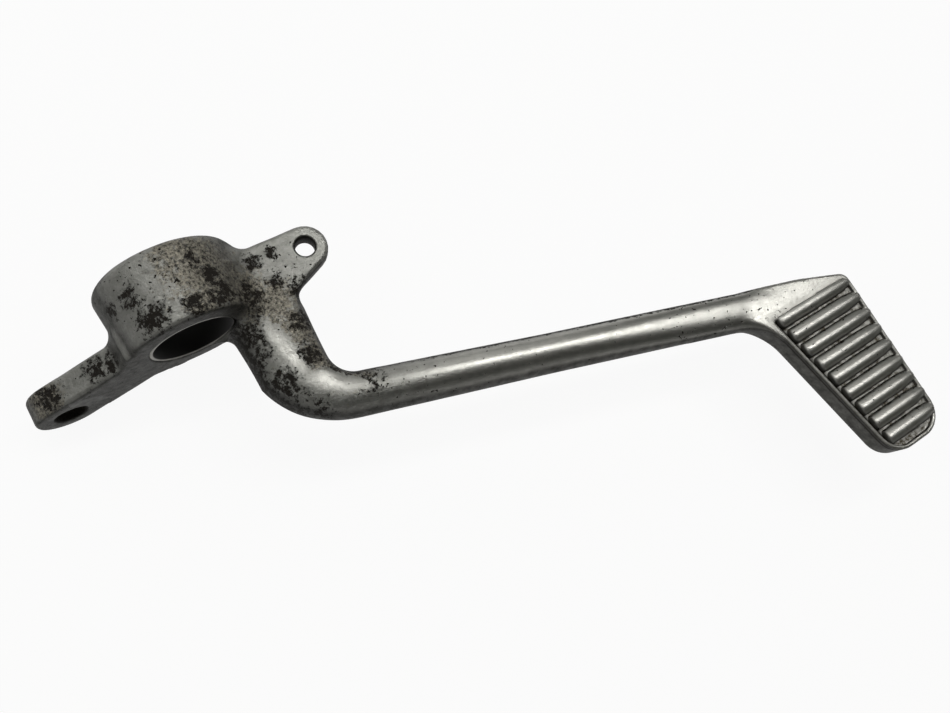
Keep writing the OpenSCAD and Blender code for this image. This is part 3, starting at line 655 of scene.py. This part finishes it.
# Casting pores half a millimetre wide, filled black, most of them near the root of the pad.
PORED = [((120, -62, 4), 30), ((40, -42, 5), 16), ((26, -2, 5), 10), ((0, 0, 16), 20)]
PORE_GRAIN_SIZE = 0.9
pored = most(tree, [spot(tree, place, centre, radius) for centre, radius in PORED])
pore_grain = add(tree, "ShaderNodeTexNoise", {
    "Vector": place, "Scale": 1 / (PORE_GRAIN_SIZE * MM), "Detail": 1.0})
pore_level = add(tree, "ShaderNodeMath", {0: pored, 1: 0.05, 2: pore_grain}, operation="MULTIPLY_ADD")
pores = add(tree, "ShaderNodeMapRange", {
    "Value": pore_level, "From Min": 0.725, "From Max": 0.765}, interpolation_type="SMOOTHSTEP")

# Dirt packed in the clevis hole and in the ear hole: the directions across the hole, its place,
# and in mm the radius up to which it is black and the radius where the dirt ends.
HOLE_DIRT = [((1.0, 0.0, 1.0), clevis_at, CLEVIS_R + 0.1, CLEVIS_R + 0.4),
             ((1.0, 1.0, 0.0), (EAR_X, EAR_Y, 0.0), EAR_CORE_R + 0.1, EAR_CORE_R + 0.5)]
in_holes = []
for across, hole_at, black_to, ends_at in HOLE_DIRT:
    flattened = add(tree, "ShaderNodeVectorMath", {0: place, 1: across}, operation="MULTIPLY")
    from_axis = add(tree, "ShaderNodeVectorMath", {
        0: flattened, 1: [c * MM for c in hole_at]}, out="Value", operation="DISTANCE")
    in_holes.append(add(tree, "ShaderNodeMapRange", {
        "Value": from_axis, "From Min": black_to * MM, "From Max": ends_at * MM, "To Min": 1.0, "To Max": 0.0}))

# Dirt packed in the tread between the ribs up to their crests, and painted shade in the gap behind their heads.
TREAD_X, TREAD_Y, TREAD_TOP, TREAD_BOTTOM = (134.5, 137.5), (-69.0, -71.5), (4.2, 2.8), (2.2, 2.6)
HEAD_SHADE_W = (1.7, 0.7)
past_root = add(tree, "ShaderNodeMapRange", {
    "Value": place_x, "From Min": TREAD_X[0] * MM, "From Max": TREAD_X[1] * MM})
below_shoulder = add(tree, "ShaderNodeMapRange", {
    "Value": place_y, "From Min": TREAD_Y[0] * MM, "From Max": TREAD_Y[1] * MM})
under_crests = add(tree, "ShaderNodeMapRange", {
    "Value": place_z, "From Min": TREAD_TOP[0] * MM, "From Max": TREAD_TOP[1] * MM})
over_floor = add(tree, "ShaderNodeMapRange", {
    "Value": place_z, "From Min": TREAD_BOTTOM[0] * MM, "From Max": TREAD_BOTTOM[1] * MM})
on_pad = add(tree, "ShaderNodeMath", {0: past_root, 1: below_shoulder}, operation="MULTIPLY")
low = add(tree, "ShaderNodeMath", {0: under_crests, 1: over_floor}, operation="MULTIPLY")
low = add(tree, "ShaderNodeMath", {0: low, 1: on_pad}, operation="MULTIPLY")
tread_dirt = add(tree, "ShaderNodeMapRange", {"Value": film_grain, "From Min": 0.47, "From Max": 0.6})
tread_dirt = add(tree, "ShaderNodeMath", {0: low, 1: tread_dirt}, operation="MULTIPLY")
# A black band between the rear rim and the rib heads is painted shade: the shadow in that gap.
inward_of_rim = np.array([-rear_dir[1], rear_dir[0]])
head_at = tread_rear_top @ inward_of_rim + RIM_W
from_rim = add(tree, "ShaderNodeVectorMath", {
    0: place, 1: (*inward_of_rim, 0.0)}, out="Value", operation="DOT_PRODUCT")
painted_shade_behind_heads = add(tree, "ShaderNodeMapRange", {
    "Value": from_rim, "From Min": (head_at + HEAD_SHADE_W[0]) * MM, "From Max": (head_at + HEAD_SHADE_W[1]) * MM})
painted_shade_behind_heads = add(tree, "ShaderNodeMath", {0: painted_shade_behind_heads, 1: low}, operation="MULTIPLY")

# Painted shade lies over the metal on flanks and undersides, tread dirt over that, and black crust, packed dirt
# and the painted shade behind the rib heads over all.
black = most(tree, [crust, pores, *in_holes, painted_shade_behind_heads])
dirt_and_painted_shade = most(tree, [black, tread_dirt, painted_flank_shade])
with_painted_shade = add(tree, "ShaderNodeMix", {"Factor": painted_flank_shade, 6: metal, 7: linear("#262521")}, out=2, data_type="RGBA")
with_tread = add(tree, "ShaderNodeMix", {
    "Factor": tread_dirt, 6: with_painted_shade, 7: linear("#4d4638")}, out=2, data_type="RGBA")
crust_and_shade_colour = add(tree, "ShaderNodeMix", {
    "Factor": film_grain, 6: linear("#080705"), 7: linear("#28231b")}, out=2, data_type="RGBA")
colour = add(tree, "ShaderNodeMix", {"Factor": black, 6: with_tread, 7: crust_and_shade_colour}, out=2, data_type="RGBA")

# Dirt and painted shade are matt and no metal, and dirt fills pits in the skin, whose relief is a third of a
# millimetre.
RELIEF = 0.35
film_dullness = add(tree, "ShaderNodeMath", {0: film, 1: 0.8}, operation="MULTIPLY")
skin_roughness = add(tree, "ShaderNodeMapRange", {"Value": polished, "To Min": 0.31, "To Max": 0.22})
skin_roughness = add(tree, "ShaderNodeMath", {0: on_pad, 1: 0.05, 2: skin_roughness}, operation="MULTIPLY_ADD")
skin_roughness = add(tree, "ShaderNodeMath", {0: low, 1: 0.12, 2: skin_roughness}, operation="MULTIPLY_ADD")
skin_roughness = add(tree, "ShaderNodeMath", {0: grit, 1: 0.28, 2: skin_roughness}, operation="MULTIPLY_ADD")
# The painted shade on flanks and undersides is made matt and less metallic along with the dirt.
dirt_roughness = add(tree, "ShaderNodeMath", {
    0: most(tree, [dirt_and_painted_shade, film_dullness]), 1: 0.7}, operation="MULTIPLY")
roughness = most(tree, [skin_roughness, dirt_roughness])
metallic = add(tree, "ShaderNodeMapRange", {"Value": dirt_and_painted_shade, "To Min": 1.0, "To Max": 0.0})
metallic = add(tree, "ShaderNodeMath", {0: film, 1: -0.45, 2: metallic}, operation="MULTIPLY_ADD", use_clamp=True)
gloss = add(tree, "ShaderNodeMapRange", {"Value": dirt_and_painted_shade, "To Min": 0.5, "To Max": 0.18})
relief = add(tree, "ShaderNodeMapRange", {"Value": polished, "To Min": 1.0, "To Max": 0.24})
lumps = add(tree, "ShaderNodeMath", {0: grit, 1: 0.6, 2: mottle}, operation="MULTIPLY_ADD")
relief = add(tree, "ShaderNodeMath", {0: relief, 1: lumps}, operation="MULTIPLY")
relief = add(tree, "ShaderNodeMath", {0: black, 1: -0.5, 2: relief}, operation="MULTIPLY_ADD")
bumped = add(tree, "ShaderNodeBump", {"Height": relief, "Strength": 0.8, "Distance": RELIEF * MM})
surface = add(tree, "ShaderNodeBsdfPrincipled", {
    "Base Color": colour, "Roughness": roughness, "Metallic": metallic, "Specular IOR Level": gloss,
    "Normal": bumped})
add(tree, "ShaderNodeOutputMaterial", {"Surface": surface})

casting.data.materials.clear()
casting.data.materials.append(cast_metal)
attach(casting, "root")
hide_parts("pedal_casting")

# Pivot bush
# A thin turned steel bush pressed into the boss, a little below both of its faces.
# Its end ring shows light grey, and old grease has turned its bore black-brown.

BUSH_BORE_R, BUSH_RECESS, BUSH_CHAMFER, BUSH_EASE, BUSH_SIDES = 10.0, 0.3, 0.2, 0.01, 160
bush_end = BOSS_LEN / 2 - BUSH_RECESS
bush_profile = [(BUSH_R - BUSH_EASE, bush_end - BUSH_CHAMFER), (BUSH_R - BUSH_CHAMFER, bush_end),
                (BUSH_BORE_R + BUSH_CHAMFER, bush_end), (BUSH_BORE_R, bush_end - BUSH_CHAMFER),
                (BUSH_BORE_R, -bush_end + BUSH_CHAMFER), (BUSH_BORE_R + BUSH_CHAMFER, -bush_end),
                (BUSH_R - BUSH_CHAMFER, -bush_end), (BUSH_R - BUSH_EASE, -bush_end + BUSH_CHAMFER)]
bush = turned("pivot_bush_turned", bush_profile, BUSH_SIDES, along_y, tube=True)

# Turned steel gives a plain grey ring; the grease in the bore is matt and reaches its chamfer.
SMEAR_SIZE = 2.0
bush_metal = new_material("turned_steel_greasy")
tree = bush_metal.node_tree
place = add(tree, "ShaderNodeTexCoord", out="Object")
flattened = add(tree, "ShaderNodeVectorMath", {0: place, 1: (1.0, 0.0, 1.0)}, operation="MULTIPLY")
from_axis = add(tree, "ShaderNodeVectorMath", {0: flattened}, out="Value", operation="LENGTH")
greasy = add(tree, "ShaderNodeMapRange", {
    "Value": from_axis, "From Min": (BUSH_BORE_R + 0.02) * MM, "From Max": (BUSH_BORE_R + BUSH_CHAMFER) * MM,
    "To Min": 1.0, "To Max": 0.0})
smear = add(tree, "ShaderNodeTexNoise", {"Vector": place, "Scale": 1 / (SMEAR_SIZE * MM), "Detail": 4.0})
steel = add(tree, "ShaderNodeMix", {
    "Factor": smear, 6: linear("#4c4a44"), 7: linear("#86847e")}, out=2, data_type="RGBA")
grease = add(tree, "ShaderNodeMix", {
    "Factor": smear, 6: linear("#070504"), 7: linear("#120e0a")}, out=2, data_type="RGBA")
surface = add(tree, "ShaderNodeBsdfPrincipled", {
    "Base Color": add(tree, "ShaderNodeMix", {"Factor": greasy, 6: steel, 7: grease}, out=2, data_type="RGBA"),
    "Roughness": add(tree, "ShaderNodeMapRange", {"Value": greasy, "To Min": 0.4, "To Max": 0.7}),
    "Metallic": add(tree, "ShaderNodeMapRange", {"Value": greasy, "To Min": 1.0, "To Max": 0.0})})
add(tree, "ShaderNodeOutputMaterial", {"Surface": surface})
bush.data.materials.append(bush_metal)
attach(bush, "root")
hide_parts("pivot_bush")

# Studio
# A pale matt board under the pedal, in a soft grey room. A strip lamp hangs over the pedal in line with its arm,
# a small lamp over the pad, a wide one behind and one at the left.

TABLE_HALF, TABLE_GAP = 3000, 0.5
# The camera and the metal see the board white; the share of its own colour left in keeps the pedal's shadow.
WHITE_SHARE = 0.93
table_z = cad_box[0][2] / MM - TABLE_GAP
table_corners = [(x * TABLE_HALF, y * TABLE_HALF, table_z) for x, y in ((-1, -1), (1, -1), (1, 1), (-1, 1))]
table = new_mesh_object("table", table_corners, [(0, 1, 2, 3)])
table_top = new_material("white_table_board")
tree = table_top.node_tree
rays = add(tree, "ShaderNodeLightPath").node.outputs
seen = most(tree, [rays["Is Camera Ray"], rays["Is Glossy Ray"], rays["Is Transmission Ray"]])
white_share = add(tree, "ShaderNodeMath", {0: seen, 1: WHITE_SHARE}, operation="MULTIPLY")
board = add(tree, "ShaderNodeBsdfDiffuse", {"Color": linear("#ecece9")})
glow = add(tree, "ShaderNodeEmission", {"Color": linear("#ffffff"), "Strength": 1.0})
add(tree, "ShaderNodeOutputMaterial", {
    "Surface": add(tree, "ShaderNodeMixShader", {0: white_share, 1: board, 2: glow})})
table.data.materials.append(table_top)

room = bpy.data.worlds.new("studio_room")
bpy.context.scene.world = room
room.use_nodes = True
room.node_tree.nodes.clear()
air = add(room.node_tree, "ShaderNodeBackground", {"Color": linear("#8c8d89"), "Strength": 0.2})
add(room.node_tree, "ShaderNodeOutputWorld", {"Surface": air})

PEDAL_MIDDLE = Vector((0.07, -0.03, 0.0))
along_arm = (arm_dir[0], arm_dir[1], 0.0)
# Each lamp's place in metres, the direction of its long side, its two sides in metres, and its watts.
LAMPS = {"lamp_overhead": ((0.28, 0.19, 0.80), along_arm, 0.80, 0.13, 3.0),
         "lamp_over_pad": ((0.61, -0.03, 0.80), along_arm, 0.20, 0.20, 0.6),
         "lamp_behind": ((0.0, 0.80, 0.52), (1.0, 0.0, 0.0), 1.4, 0.6, 2.6),
         "lamp_left": ((-0.60, 0.15, 0.80), (0.0, 1.0, 0.0), 0.5, 0.35, 1.6)}
for name, (at, along, width, depth, watts) in LAMPS.items():
    light = bpy.data.lights.new(name, "AREA")
    light.shape, light.size, light.size_y, light.energy = "RECTANGLE", width, depth, watts
    lamp = bpy.data.objects.new(name, light)
    back = (Vector(at) - PEDAL_MIDDLE).normalized()
    side = (Vector(along) - back * back.dot(Vector(along))).normalized()
    lamp.matrix_world = Matrix.Translation(at) @ Matrix((side, back.cross(side), back)).transposed().to_4x4()
    bpy.context.scene.collection.objects.link(lamp)

# Camera
# The photograph was taken from above and outboard, with a lens of 34 mm on a 36 mm wide frame.

CAMERA_AT = Vector((-7.23, -73.64, 215.67)) * MM
RIGHT, UP, BACK = (0.8556, -0.4785, 0.1972), (0.4271, 0.8680, 0.2532), (-0.2924, -0.1324, 0.9471)
camera_data = bpy.data.cameras.new("camera")
camera_data.sensor_width, camera_data.lens, camera_data.clip_start = 36.0, 34.105, 0.01
camera = bpy.data.objects.new("camera", camera_data)
camera.matrix_world = Matrix.Translation(CAMERA_AT) @ Matrix((RIGHT, UP, BACK)).transposed().to_4x4()
bpy.context.scene.collection.objects.link(camera)
bpy.context.scene.camera = camera
bpy.context.scene.view_settings.view_transform = "Standard"
